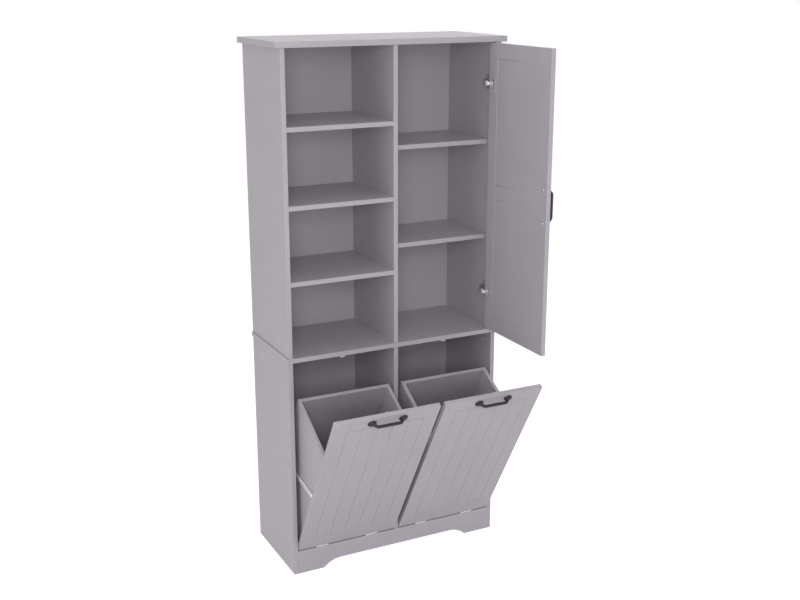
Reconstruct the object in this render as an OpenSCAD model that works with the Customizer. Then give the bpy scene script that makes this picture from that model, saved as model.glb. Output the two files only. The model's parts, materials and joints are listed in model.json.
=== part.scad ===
// Tall bathroom laundry cabinet: four open cubbies and three door-closed shelves
// above two tilt-out laundry hampers. Millimetres. Origin on the floor at the
// centre of the carcass footprint, front towards -Y, up +Z. The door stands open
// and both hampers are tilted out, the pose in which the cabinet is drawn.

/* [Carcass] */
// Width over the side panels
carcass_w = 765; // [600:5:900]
// Depth of the side panels
carcass_d = 334; // [300:2:400]
// Thickness of the carcass boards
board_t = 15; // [12:0.5:18]
// Height of the lower side panels, floor to middle board
lower_h = 750; // [700:5:850]
// Height of the upper side panels, middle board to top board
upper_h = 968; // [860:4:1100]
// Thickness of the top board
top_t = 19; // [15:1:25]
// How far the top board stands out at each side
top_side_over = 17.5; // [0:0.5:30]
// How far the top board stands out at the front
top_front_over = 7.5; // [0:0.5:20]
// How far the middle board stands out at each side
mid_side_over = 4.5; // [0:0.5:10]
// How far the middle board stands out at the front
mid_front_over = 4; // [0:0.5:10]
// Thickness of the back panels
back_t = 3; // [2.5:0.5:5]
// Back panel's rear face, in from the rear edge of the side panels
back_inset = 12; // [8:1:20]
// Depth of the groove that holds a back panel
back_groove = 6; // [4:0.5:8]

/* [Left cubbies] */
// Spacing of the three fixed shelves, the middle one at half height
cubby_pitch = 242; // [200:2:260]

/* [Right shelves] */
// Top of the lower shelf above the middle board
shelf_low = 324; // [240:2:360]
// Top of the upper shelf above the middle board
shelf_high = 648; // [560:2:700]
// Front edge of these shelves behind the cabinet's front
shelf_setback = 50; // [25:1:80]
// Play of a loose shelf at each end
shelf_play = 1; // [0.5:0.25:2]
// Radius of a shelf pin's shank
pin_r = 2.5; // [2:0.25:4]
// Shelf pin's place, in from the shelf's front and rear edges
pin_inset = 35; // [25:1:60]

/* [Base] */
// Height of the apron under the hampers
apron_h = 83; // [70:1:110]
// Width of each foot of the apron at the floor
foot_w = 93; // [60:1:140]
// Height of the arch between the feet
arch_h = 26; // [15:1:45]
// Radius of the scallop at each end of the arch
scallop_r = 90; // [60:1:140]
// Front end of the centre support, behind the cabinet's front
support_back = 107; // [90:1:140]

/* [Door] */
// Angle at which the door stands open
door_angle = 90; // [60:5:100]
// Thickness of the door's frame
door_t = 15; // [15:0.5:20]
// Gap at the handle side, top and bottom of the door
door_gap = 2; // [1.5:0.5:4]
// Gap at the hinge side of the door
door_hinge_gap = 3; // [3:0.5:4]
// Width of the door's stiles and rails
frame_w = 50; // [46:1:70]
// Thickness of the door's panels
panel_t = 10; // [8:0.5:12]
// Inner face of a door panel behind the frame's inner face
panel_set = 1; // [0.5:0.5:2]
// Tongue that joins panels, rails and stiles: thickness
tongue_t = 5; // [4:0.5:6]
// Tongue that joins panels, rails and stiles: length
tongue_l = 6; // [4:0.5:8]

/* [Concealed door hinges] */
// Hinge centre from the door's top or bottom edge
hinge_end = 130; // [90:1:180]
// Radius of the hinge cup
cup_r = 17.5; // [17.5:0.5:20]
// Depth of the cup in the door
cup_depth = 12; // [11:0.5:12.5]
// Board left between the cup and the door's edge
cup_tab = 3.5; // [3:0.5:6]
// Hinge axis, in from the door's hinge edge
axis_in = 8; // [7.5:0.5:9]
// Hinge axis, behind the door's front face
axis_back = 7; // [6.5:0.5:8]
// Width of the hinge arm
arm_w = 16; // [14:1:18]

/* [Hampers] */
// Angle of the hampers when tilted out
tilt_angle = 30; // [15:1:35]
// Thickness of the flap
flap_t = 15; // [12:0.5:18]
// Gap at each side of a flap
flap_gap = 2.5; // [1.5:0.5:4]
// Gap above a flap
flap_top_gap = 4.5; // [3:0.5:8]
// Gap under a flap, filled by its hinges
hinge_gap = 5; // [4.6:0.2:7]
// Tilt axis behind the cabinet's front
tilt_in = 1.5; // [0:0.5:3]
// Width of a flap's plain border at the sides
border_side = 47; // [35:1:60]
// Width of a flap's plain border at the top
border_top = 44; // [38:1:60]
// Width of a flap's plain border at the bottom
border_bottom = 55; // [40:1:70]
// Planks in the beaded field of a flap or door panel
planks = 5; // [3:1:8]
// Depth of the V-grooves between the planks
bead_depth = 1.8; // [1:0.2:3]
// Thickness of the bin's boards
bin_t = 12; // [9:0.5:15]
// Free space beside each bin
bin_side_clear = 15; // [13:0.5:25]
// Depth of the bin behind the flap
bin_depth = 262; // [200:2:275]
// Height of the bin's rim above its underside
bin_h = 455; // [300:5:500]
// Underside of the bin above the apron's top
bin_lift = 7; // [6:1:20]

/* [Flap hinges] */
// Width of a butt hinge
butt_w = 42; // [30:1:60]
// Hinge centres either side of a flap's centre
butt_offset = 92; // [60:1:130]
// Thickness of the hinge leaves
leaf_t = 1; // [0.8:0.1:1.5]
// Radius of the hinge pin
butt_pin_r = 1.2; // [1:0.1:1.4]

/* [Tilt stays] */
// Arm pivot behind the flap's inner face
stay_back = 11; // [9:0.5:20]
// Arm pivot above the tilt axis
stay_up = 268; // [180:4:320]
// Angle of the side panel's stud from upright, seen from the tilt axis
stud_lean = 9; // [9:0.5:20]
// Radius of the stud and of the arm's pivot pin
stay_pin_r = 2.5; // [2:0.25:3]
// Width of the slotted arm
stay_w = 14; // [12:1:18]
// Thickness of the slotted arm
stay_t = 1.8; // [1.5:0.1:2.5]

/* [Handles] */
// Spacing of a handle's two feet
handle_span = 106; // [76:1:160]
// Handle's bar centre above the board's face
handle_rise = 17.5; // [16:0.5:35]
// Radius of the handle's bar
handle_r = 3.8; // [3:0.2:5]
// Radius of the bends between posts and bar
handle_bend = 10; // [7:0.5:11]
// Door handle's centre line, in from the door's free edge
handle_in = 21; // [16:1:30]
// Radius of the handle screws' shank
screw_r = 2; // [1.5:0.1:2.5]

/* [Fittings] */
// Radius of a cam lock
cam_r = 7.5; // [6:0.5:9]
// Depth of a cam lock's pocket
cam_depth = 12; // [10:0.5:12]
// Cam centre from the end of an upright panel
cam_reach = 42; // [30:1:50]
// Cam centre from the end of a fixed shelf
shelf_cam_reach = 34; // [24:1:40]
// Front fittings, behind the cabinet's front
cam_front = 50; // [40:1:70]
// Rear fittings, in front of the back panel
cam_rear = 35; // [30:1:60]
// Radius of a connecting bolt
bolt_r = 3; // [2.5:0.25:3.5]
// Depth of a bolt in the board that it is screwed into
bolt_seat = 6; // [5:0.5:7]
// Width of a magnetic catch
catch_w = 14; // [12:1:20]
// Length of a magnetic catch
catch_l = 36; // [25:1:45]
// Height of a magnetic catch
catch_h = 12; // [10:1:15]

/* [Hidden] */
$fn = 48;

// Clearances
fit = 0.05;
slide_fit = 0.1;
sweep_gap = 0.3;
past = 1;

// Colours
paint = [0.64, 0.61, 0.65];
panel_paint = [0.62, 0.59, 0.63];
black_metal = [0.1, 0.1, 0.11];
bright_steel = [0.8, 0.8, 0.82];
white_plastic = [0.93, 0.93, 0.92];

// Planes of the carcass
half_w = carcass_w / 2;
half_t = board_t / 2;
x_in = half_w - board_t;
bay_w = x_in - half_t;
bay_mid = (x_in + half_t) / 2;
y_front = -carcass_d / 2;
y_rear = carcass_d / 2;
y_back = y_rear - back_inset - back_t;
z_mid = lower_h + board_t;
z_top = z_mid + upper_h;
z_floor = apron_h - board_t;
y_cams = [y_front + cam_front, y_back - cam_rear];
cubby_mid = (z_mid + z_top) / 2 + half_t;
cubby_tops = [cubby_mid - cubby_pitch, cubby_mid, cubby_mid + cubby_pitch];
shelf_tops = [z_mid + shelf_low, z_mid + shelf_high];

// Door, as it stands when closed
door_x0 = half_t + door_gap;
door_x1 = x_in - door_hinge_gap;
door_z0 = z_mid + door_gap;
door_z1 = z_top - door_gap;
door_mid = (door_z0 + door_z1) / 2;
door_y1 = y_front + door_t;
door_axis = [door_x1 - axis_in, y_front + axis_back];
hinge_zs = [door_z0 + hinge_end, door_z1 - hinge_end];
panel_y1 = door_y1 - panel_set;
panel_y0 = panel_y1 - panel_t;
tongue_y0 = (panel_y0 + panel_y1 - tongue_t) / 2;
cup_x = door_x1 - cup_tab - cup_r;

// Hampers, as they stand when closed, drawn for the right bay
flap_x0 = half_t + flap_gap;
flap_x1 = x_in - flap_gap;
flap_z0 = apron_h + hinge_gap;
flap_z1 = lower_h - flap_top_gap;
flap_y1 = y_front + flap_t;
tilt_axis = [y_front + tilt_in, apron_h + hinge_gap / 2];
bin_x0 = half_t + bin_side_clear;
bin_x1 = x_in - bin_side_clear;
bin_y1 = flap_y1 + bin_depth;
bin_z0 = apron_h + bin_lift;
bin_z1 = bin_z0 + bin_h;
flap_handle_z = flap_z1 - border_top / 2;

// Tilt stay: stud and pivot lie on one circle round the tilt axis, so the slot
// keeps pointing at the stud while the arm turns half as far as the hamper
stay_pivot = [flap_y1 + stay_back, tilt_axis[1] + stay_up];
stay_radius = norm(stay_pivot - tilt_axis);
pivot_lean = atan2(stay_pivot[0] - tilt_axis[0], stay_up);
stud = tilt_axis + stay_radius * [sin(stud_lean), cos(stud_lean)];
slot_far = 2 * stay_radius * sin((stud_lean - pivot_lean + tilt_angle) / 2);
slot_near = 2 * stay_radius * sin((stud_lean - pivot_lean) / 2);
arm_slope = -(stud_lean + pivot_lean) / 2;
stay_x1 = bin_x1 + 3;
stay_plate_t = 1.5;
stay_head_t = 1.2;
stay_head_r = 4.5;

// Small hardware
knuckle_r = hinge_gap / 2 - sweep_gap;
leaf_l = flap_t - tilt_in - 0.5;
knuckle_cut = knuckle_r + sweep_gap;
cup_wall = 1.2;
cup_flange = [33, 62, 1];
cup_pin_r = 1;
arm_t = 2;
arm_knuckle_r = 1.9;
arm_tongue_w = 10;
arm_out = 18.5;
arm_turn = 3;
plate_y = door_y1 + 37;
plate_base_t = 2;
plate_rail_t = 4;
cap_r = 9;
cap_t = 0.8;
screw_head_r = 4;
screw_head_t = 2.4;
screw_bite = 8;
foot_l = 26;
foot_h = 3;
pin_l = 8;
tab_w = 7;
strike = [20, 12, 1];

// A board between two x, two y and two z planes
module board(x0, x1, y0, y1, z0, z1) {
  translate([x0, y0, z0]) cube([x1 - x0, y1 - y0, z1 - z0]);
}

// A cylinder from point p along unit axis name, length l
module rod_x(p, l, r) {
  translate(p) rotate([0, 90, 0]) cylinder(r = r, h = l);
}
module rod_y(p, l, r) {
  translate(p) rotate([-90, 0, 0]) cylinder(r = r, h = l);
}
module rod_z(p, l, r) {
  translate(p) cylinder(r = r, h = l);
}

// Left pieces are mirror images of right ones: side is -1 or 1
module on_side(side) {
  mirror([side < 0 ? 1 : 0, 0, 0]) children();
}

// Moves a piece drawn closed to where it stands in the drawn pose
module door_pose() {
  translate([door_axis[0], door_axis[1], 0]) rotate([0, 0, door_angle])
    translate([-door_axis[0], -door_axis[1], 0]) children();
}
module hamper_pose(side) {
  on_side(side) translate([0, tilt_axis[0], tilt_axis[1]]) rotate([tilt_angle, 0, 0])
    translate([0, -tilt_axis[0], -tilt_axis[1]]) children();
}

// Fittings that join an upright panel to the board at its end. face_x is the
// panel's drilled face, into is the way into the panel, up is the way to the cam
module upright_cam_sites(face_x, end_z, up) {
  for (y = y_cams) translate([face_x, y, end_z + up * cam_reach]) children();
}
module cam_pocket(into) {
  rod_x([into > 0 ? -past : -cam_depth, 0, 0], cam_depth + past, cam_r + fit);
}
module bolt_bore(up) {
  rod_z([0, 0, up > 0 ? -cam_reach - past : 0], cam_reach + past, bolt_r + fit);
}
module upright_cam_cuts(face_x, into, end_z, up) {
  upright_cam_sites(face_x, end_z, up) {
    cam_pocket(into);
    translate([into * half_t, 0, 0]) bolt_bore(up);
  }
}
module cam_lock(into, up) {
  difference() {
    rod_x([into > 0 ? 0 : -cam_depth, 0, 0], cam_depth, cam_r);
    translate([into * half_t, 0, -up * cam_r / 2])
      cube([2 * bolt_r + 0.4, 2 * bolt_r + 0.4, cam_r + 0.1], center = true);
    for (a = [0, 90]) rotate([a, 0, 0]) cube([2, 1.4, 8], center = true);
  }
}
module cam_bolt(up) {
  rod_z([0, 0, up > 0 ? -cam_reach - bolt_seat : 1], cam_reach + bolt_seat - 1, bolt_r);
}

// Every drilled end of the three upright panels of a cabinet half
upright_faces = [[-x_in, -1], [half_t, -1], [x_in, 1]];
lower_ends = [[lower_h, -1]];
upper_ends = [[z_mid, 1], [z_top, -1]];

// Fittings that join a horizontal board's end at x to an upright, drilled from
// below: out is the way from the cam to the upright
module flat_cam_sites(end_x, out, top_z) {
  for (y = y_cams) translate([end_x - out * shelf_cam_reach, y, top_z - board_t]) children();
}
module flat_cam_cuts(end_x, out, top_z) {
  flat_cam_sites(end_x, out, top_z) {
    rod_z([0, 0, -past], cam_depth + past, cam_r + fit);
    rod_x([out > 0 ? 0 : -shelf_cam_reach - past, 0, half_t], shelf_cam_reach + past, bolt_r + fit);
  }
}
module flat_cam_lock(out) {
  difference() {
    cylinder(r = cam_r, h = cam_depth);
    translate([out * cam_r / 2, 0, half_t])
      cube([cam_r + 0.1, 2 * bolt_r + 0.4, 2 * bolt_r + 0.4], center = true);
    for (a = [0, 90]) rotate([0, 0, a]) cube([8, 1.4, 2], center = true);
  }
}
module flat_cam_bolt(out) {
  rod_x([out > 0 ? 1 : -shelf_cam_reach - bolt_seat, 0, half_t], shelf_cam_reach + bolt_seat - 1, bolt_r);
}

// Bolt seats in an upright's face for the boards that end there
module flat_bolt_seats(face_x, out, top_z) {
  for (y = y_cams)
    rod_x([out > 0 ? face_x - past : face_x - bolt_seat, y, top_z - half_t], bolt_seat + past, bolt_r + fit);
}

// Side panels
module back_groove_cut(z0, z1) {
  board(x_in - past, x_in + back_groove, y_back - slide_fit, y_back + back_t + slide_fit, z0, z1);
}
module lower_side(side) {
  color(paint) difference() {
    on_side(side) difference() {
      board(x_in, half_w, y_front, y_rear, 0, lower_h);
      back_groove_cut(z_floor - slide_fit, lower_h + past);
    }
    upright_cam_cuts(side * x_in, side, lower_h, -1);
    flat_bolt_seats(side * x_in, side, apron_h);
  }
}
module pin_holes(face_x, into) {
  for (top = shelf_tops) for (y = [y_front + shelf_setback + pin_inset, y_back - pin_inset])
    rod_x([into > 0 ? face_x - past : face_x - pin_l, y, top - board_t - pin_r], pin_l + past, pin_r + fit);
}
module upper_side(side) {
  color(paint) difference() {
    on_side(side) difference() {
      board(x_in, half_w, y_front, y_rear, z_mid, z_top);
      back_groove_cut(z_mid - past, z_top + past);
    }
    for (e = upper_ends) upright_cam_cuts(side * x_in, side, e[0], e[1]);
    if (side < 0) for (top = cubby_tops) flat_bolt_seats(-x_in, -1, top);
    if (side > 0) pin_holes(x_in, 1);
  }
}
module lower_left_side() { lower_side(-1); }
module lower_right_side() { lower_side(1); }
module upper_left_side() { upper_side(-1); }
module upper_right_side() { upper_side(1); }

// Dividers
module lower_divider() {
  color(paint) difference() {
    board(-half_t, half_t, y_front, y_back, apron_h, lower_h);
    upright_cam_cuts(half_t, -1, lower_h, -1);
  }
}
module upper_divider() {
  color(paint) difference() {
    board(-half_t, half_t, y_front, y_back, z_mid, z_top);
    for (e = upper_ends) upright_cam_cuts(half_t, -1, e[0], e[1]);
    for (top = cubby_tops) flat_bolt_seats(-half_t, 1, top);
    pin_holes(half_t, -1);
  }
}

// Horizontal boards
module end_bolt_seats(z, up) {
  for (f = upright_faces) for (y = y_cams)
    rod_z([f[0] + f[1] * half_t, y, up > 0 ? z - past : z - bolt_seat], bolt_seat + past, bolt_r + fit);
}
module middle_board() {
  color(paint) difference() {
    board(-half_w - mid_side_over, half_w + mid_side_over, y_front - mid_front_over, y_rear, lower_h, z_mid);
    end_bolt_seats(lower_h, 1);
    end_bolt_seats(z_mid, -1);
  }
}
module top_board() {
  color(paint) difference() {
    board(-half_w - top_side_over, half_w + top_side_over, y_front - top_front_over, y_rear, z_top, z_top + top_t);
    end_bolt_seats(z_top, 1);
  }
}
module bottom_board() {
  color(paint) difference() {
    board(-x_in, x_in, y_front + board_t, y_back, z_floor, apron_h);
    for (s = [-1, 1]) flat_cam_cuts(s * x_in, s, apron_h);
  }
}
module left_shelf(top) {
  color(paint) difference() {
    board(-x_in, -half_t, y_front, y_back, top - board_t, top);
    flat_cam_cuts(-x_in, -1, top);
    flat_cam_cuts(-half_t, 1, top);
  }
}
module left_shelf_bottom() { left_shelf(cubby_tops[0]); }
module left_shelf_middle() { left_shelf(cubby_tops[1]); }
module left_shelf_top() { left_shelf(cubby_tops[2]); }
module right_shelf(top) {
  color(paint)
    board(half_t + shelf_play, x_in - shelf_play, y_front + shelf_setback, y_back - shelf_play, top - board_t, top);
}
module right_shelf_lower() { right_shelf(shelf_tops[0]); }
module right_shelf_upper() { right_shelf(shelf_tops[1]); }

// Shelf pins: a shank in the panel, a collar on its face and a flat tab under
// the shelf
module shelf_pin(face_x, out, y, under) {
  translate([face_x, y, under - pin_r]) on_side(out) {
    rod_x([-pin_l, 0, 0], pin_l, pin_r);
    rod_x([0, 0, 0], shelf_play, pin_r + 1.5);
    translate([shelf_play, -tab_w / 2, -1]) cube([pin_l, tab_w, pin_r + 1]);
  }
}
module shelf_pins() {
  color(bright_steel) for (top = shelf_tops)
    for (y = [y_front + shelf_setback + pin_inset, y_back - pin_inset]) {
      shelf_pin(half_t, 1, y, top - board_t);
      shelf_pin(x_in, -1, y, top - board_t);
    }
}

// Apron with an arch between two bracket feet
module apron() {
  arch_x = x_in - foot_w - sqrt(scallop_r * scallop_r - pow(scallop_r - arch_h, 2));
  color(paint) translate([0, y_front + board_t, 0]) rotate([90, 0, 0]) linear_extrude(board_t)
    difference() {
      translate([-x_in, 0]) square([2 * x_in, apron_h]);
      translate([-arch_x, -past]) square([2 * arch_x, arch_h + past]);
      for (s = [-1, 1]) translate([s * arch_x, arch_h - scallop_r]) circle(scallop_r, $fn = 120);
    }
}
module centre_support() {
  color(paint) board(-half_t, half_t, y_front + support_back, y_back, 0, z_floor);
}

// Back panels, held in the side panels' grooves
module back_panel(z0, z1) {
  reach = x_in + back_groove - slide_fit;
  color(panel_paint) board(-reach, reach, y_back, y_back + back_t, z0, z1);
}
module upper_back_panel() { back_panel(z_mid, z_top); }
module lower_back_panel() { back_panel(z_floor, lower_h); }

// Cam locks, bolts and caps, one node each
module cam_locks() {
  color(bright_steel) {
    for (f = upright_faces) for (e = concat(lower_ends, upper_ends))
      upright_cam_sites(f[0], e[0], e[1]) cam_lock(f[1], e[1]);
    for (top = cubby_tops) {
      flat_cam_sites(-x_in, -1, top) flat_cam_lock(-1);
      flat_cam_sites(-half_t, 1, top) flat_cam_lock(1);
    }
    for (s = [-1, 1]) flat_cam_sites(s * x_in, s, apron_h) flat_cam_lock(s);
  }
}
module cam_bolts() {
  color(bright_steel) {
    for (f = upright_faces) for (e = concat(lower_ends, upper_ends))
      upright_cam_sites(f[0] + f[1] * half_t, e[0], e[1]) cam_bolt(e[1]);
    for (top = cubby_tops) {
      flat_cam_sites(-x_in, -1, top) flat_cam_bolt(-1);
      flat_cam_sites(-half_t, 1, top) flat_cam_bolt(1);
    }
    for (s = [-1, 1]) flat_cam_sites(s * x_in, s, apron_h) flat_cam_bolt(s);
  }
}
module cam_caps() {
  color(paint) for (f = upright_faces) for (e = upper_ends)
    upright_cam_sites(f[0], e[0], e[1]) rod_x([f[1] > 0 ? -cap_t : 0, 0, 0], cap_t, cap_r);
}

// Door frame. A tongue on each panel and rail runs in the groove of its neighbour
module frame_groove_x(x, into, z0, z1) {
  board(into > 0 ? x - past : x - tongue_l - slide_fit, into > 0 ? x + tongue_l + slide_fit : x + past,
        tongue_y0 - slide_fit, tongue_y0 + tongue_t + slide_fit, z0, z1);
}
module frame_groove_z(z, into, x0, x1) {
  board(x0, x1, tongue_y0 - slide_fit, tongue_y0 + tongue_t + slide_fit,
        into > 0 ? z - past : z - tongue_l - slide_fit, into > 0 ? z + tongue_l + slide_fit : z + past);
}
module door_hinge_stile() {
  color(paint) door_pose() difference() {
    board(door_x1 - frame_w, door_x1, y_front, door_y1, door_z0, door_z1);
    frame_groove_x(door_x1 - frame_w, 1, door_z0 - past, door_z1 + past);
    for (z = hinge_zs) rod_y([cup_x, door_y1 - cup_depth, z], cup_depth + past, cup_r + fit);
  }
}
module door_handle_stile() {
  color(paint) door_pose() difference() {
    board(door_x0, door_x0 + frame_w, y_front, door_y1, door_z0, door_z1);
    frame_groove_x(door_x0 + frame_w, -1, door_z0 - past, door_z1 + past);
    for (s = [-1, 1])
      rod_y([door_x0 + handle_in, y_front - past, door_mid + s * handle_span / 2], door_t + 2 * past, screw_r + 0.3);
  }
}
module door_rail(z0, z1, groove_low, groove_high) {
  rail_x0 = door_x0 + frame_w;
  rail_x1 = door_x1 - frame_w;
  color(paint) door_pose() difference() {
    union() {
      board(rail_x0, rail_x1, y_front, door_y1, z0, z1);
      board(rail_x0 - tongue_l, rail_x1 + tongue_l, tongue_y0, tongue_y0 + tongue_t, z0, z1);
    }
    if (groove_low) frame_groove_z(z0, 1, rail_x0 - tongue_l - past, rail_x1 + tongue_l + past);
    if (groove_high) frame_groove_z(z1, -1, rail_x0 - tongue_l - past, rail_x1 + tongue_l + past);
  }
}
module door_top_rail() { door_rail(door_z1 - frame_w, door_z1, true, false); }
module door_middle_rail() { door_rail(door_mid - frame_w / 2, door_mid + frame_w / 2, true, true); }
module door_bottom_rail() { door_rail(door_z0, door_z0 + frame_w, false, true); }

// V-grooves at even pitch on a front face at y, between x0 and x1
groove_side = bead_depth * sqrt(2);
bead_run_out = bead_depth / 2;
module v_groove_z(x, y, z0, z1) {
  translate([x, y, z0]) rotate([0, 0, 45])
    translate([-groove_side / 2, -groove_side / 2, 0]) cube([groove_side, groove_side, z1 - z0]);
}
module v_groove_x(x0, x1, y, z) {
  translate([x0, y, z]) rotate([45, 0, 0])
    translate([0, -groove_side / 2, -groove_side / 2]) cube([x1 - x0, groove_side, groove_side]);
}
module plank_grooves(x0, x1, y, z0, z1) {
  for (i = [1 : planks - 1]) v_groove_z(x0 + (x1 - x0) * i / planks, y, z0, z1);
}
module door_panel(z0, z1) {
  x0 = door_x0 + frame_w;
  x1 = door_x1 - frame_w;
  color(paint) door_pose() difference() {
    union() {
      board(x0, x1, panel_y0, panel_y1, z0, z1);
      board(x0 - tongue_l, x1 + tongue_l, tongue_y0, tongue_y0 + tongue_t, z0 - tongue_l, z1 + tongue_l);
    }
    plank_grooves(x0, x1, panel_y0, z0 - past, z1 + past);
  }
}
module door_upper_panel() { door_panel(door_mid + frame_w / 2, door_z1 - frame_w); }
module door_lower_panel() { door_panel(door_z0 + frame_w, door_mid - frame_w / 2); }

// Concealed hinge: the cup and its axis pin ride on the door, the cranked arm
// and its plate stay on the side panel
module hinge_cup() {
  difference() {
    union() {
      rod_y([cup_x, door_y1 - cup_depth, 0], cup_depth, cup_r);
      translate([cup_x, door_y1, 0]) rotate([-90, 0, 0]) linear_extrude(cup_flange[2])
        for (s = [-1, 1]) {
          square([cup_flange[0], cup_flange[1] - 12], center = true);
          square([cup_flange[0] - 12, cup_flange[1]], center = true);
          for (t = [-1, 1]) translate([s * (cup_flange[0] / 2 - 6), t * (cup_flange[1] / 2 - 6)]) circle(6);
        }
    }
    rod_y([cup_x, door_y1 - cup_depth + 0.7, 0], cup_depth + cup_flange[2] + past, cup_r - cup_wall);
  }
  rod_z([door_axis[0], door_axis[1], -cup_r * 0.6], cup_r * 1.2, cup_pin_r);
}
module door_hinge_cups() {
  color(bright_steel) door_pose() for (z = hinge_zs) translate([0, 0, z]) hinge_cup();
}
// A strip of sheet bent at the points of a path, w wide along z. Each bend is
// mitred: two unit normals add up to the mitre's direction
function normal(a, b) = [a[1] - b[1], b[0] - a[0]] / norm(b - a);
function strip_edge(path, side) = [
  for (i = [0 : len(path) - 1])
    let (n1 = normal(path[max(i - 1, 0)], path[max(i, 1)]),
         n2 = normal(path[min(i, len(path) - 2)], path[min(i + 1, len(path) - 1)]),
         mitre = n1 + n2)
    path[i] + side * arm_t * mitre / (mitre * mitre)
];
function reversed(list) = [for (i = [len(list) - 1 : -1 : 0]) list[i]];
module bent_strip(path, w) {
  linear_extrude(w, center = true) polygon(concat(strip_edge(path, 1), reversed(strip_edge(path, -1))));
}
module hinge_arm() {
  rear_x = x_in - plate_base_t - plate_rail_t - arm_t / 2;
  out = [door_axis[0] - arm_out + arm_turn, door_axis[1] - 1.5];
  turn = [door_axis[0] - arm_out, out[1] + arm_turn];
  crank = [turn[0], door_y1 + 22];
  seat = [rear_x, plate_y - 4];
  tail = [rear_x, plate_y + 20];
  difference() {
    union() {
      rod_z([door_axis[0], door_axis[1], -arm_tongue_w / 2], arm_tongue_w, arm_knuckle_r);
      bent_strip([door_axis, out, turn, crank], arm_tongue_w);
      bent_strip([turn, crank, seat, tail], arm_w);
    }
    rod_z([door_axis[0], door_axis[1], -arm_w], 2 * arm_w, cup_pin_r + fit);
  }
}
module door_hinge_arms() {
  color(bright_steel) for (z = hinge_zs) translate([0, 0, z]) hinge_arm();
}
module door_hinge_plates() {
  color(bright_steel) for (z = hinge_zs) translate([0, 0, z]) {
    board(x_in - plate_base_t, x_in, plate_y - 16, plate_y + 20, -10, 10);
    board(x_in - plate_base_t, x_in, plate_y - 6, plate_y + 6, -25, 25);
    board(x_in - plate_base_t - plate_rail_t, x_in - plate_base_t, plate_y - 4, plate_y + 20, -6, 6);
  }
}

// Bow handle, drawn standing on the plane z = 0 with its bar along x
module bow_handle() {
  difference() {
    union() {
      for (s = [-1, 1]) translate([s * handle_span / 2, 0, 0]) {
        linear_extrude(foot_h) {
          square([foot_l - 14, 14], center = true);
          for (t = [-1, 1]) translate([t * (foot_l / 2 - 7), 0]) circle(7);
        }
        cylinder(r = handle_r, h = handle_rise - handle_bend);
        translate([-s * handle_bend, 0, handle_rise - handle_bend]) rotate([90, 0, s > 0 ? 0 : 180])
          rotate_extrude(angle = 90) translate([handle_bend, 0]) circle(handle_r);
      }
      rod_x([-handle_span / 2 + handle_bend, 0, handle_rise], handle_span - 2 * handle_bend, handle_r);
    }
    for (s = [-1, 1]) translate([s * handle_span / 2, 0, -past]) cylinder(r = screw_r + fit, h = screw_bite + past);
  }
}
// A screw from the back of a board of thickness t into a handle's foot
module handle_screw(t) {
  translate([0, 0, -t - screw_head_t]) cylinder(r = screw_head_r, h = screw_head_t);
  translate([0, 0, -t]) cylinder(r = screw_r, h = t + screw_bite - 0.5);
}
module door_handle_place() {
  door_pose() translate([door_x0 + handle_in, y_front, door_mid]) rotate([90, 90, 0]) children();
}
module door_handle() {
  color(black_metal) door_handle_place() bow_handle();
}
module door_handle_screws() {
  color(bright_steel) door_handle_place()
    for (s = [-1, 1]) translate([s * handle_span / 2, 0, 0]) handle_screw(door_t);
}

// Flaps with a beaded field inside a plain border
module flap(side) {
  fx0 = flap_x0 + border_side;
  fx1 = flap_x1 - border_side;
  fz0 = flap_z0 + border_bottom;
  fz1 = flap_z1 - border_top;
  color(paint) hamper_pose(side) difference() {
    board(flap_x0, flap_x1, y_front, flap_y1, flap_z0, flap_z1);
    plank_grooves(fx0, fx1, y_front, fz0 - bead_run_out, fz1 + bead_run_out);
    for (x = [fx0, fx1]) v_groove_z(x, y_front, fz0 - bead_run_out, fz1 + bead_run_out);
    for (z = [fz0, fz1]) v_groove_x(fx0 - bead_run_out, fx1 + bead_run_out, y_front, z);
    for (s = [-1, 1])
      rod_y([bay_mid + s * handle_span / 2, y_front - past, flap_handle_z], flap_t + 2 * past, screw_r + 0.3);
  }
}
module left_flap() { flap(-1); }
module right_flap() { flap(1); }

// Bins: two sides, a back and a bottom behind each flap
module bin_side(side, x0) {
  color(paint) hamper_pose(side) board(x0, x0 + bin_t, flap_y1, bin_y1, bin_z0, bin_z1);
}
module left_bin_outer_side() { bin_side(-1, bin_x1 - bin_t); }
module left_bin_inner_side() { bin_side(-1, bin_x0); }
module right_bin_outer_side() { bin_side(1, bin_x1 - bin_t); }
module right_bin_inner_side() { bin_side(1, bin_x0); }
module bin_back(side) {
  color(paint) hamper_pose(side)
    board(bin_x0 + bin_t, bin_x1 - bin_t, bin_y1 - bin_t, bin_y1, bin_z0, bin_z1);
}
module left_bin_back() { bin_back(-1); }
module right_bin_back() { bin_back(1); }
module bin_bottom(side) {
  color(paint) hamper_pose(side)
    board(bin_x0 + bin_t, bin_x1 - bin_t, flap_y1, bin_y1 - bin_t, bin_z0, bin_z0 + bin_t);
}
module left_bin_bottom() { bin_bottom(-1); }
module right_bin_bottom() { bin_bottom(1); }

module flap_handle_place(side) {
  hamper_pose(side) translate([bay_mid, y_front, flap_handle_z]) rotate([90, 0, 0]) children();
}
module left_handle() { color(black_metal) flap_handle_place(-1) bow_handle(); }
module right_handle() { color(black_metal) flap_handle_place(1) bow_handle(); }
module flap_screws(side) {
  color(bright_steel) flap_handle_place(side)
    for (s = [-1, 1]) translate([s * handle_span / 2, 0, 0]) handle_screw(flap_t);
}
module left_handle_screws() { flap_screws(-1); }
module right_handle_screws() { flap_screws(1); }

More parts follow.
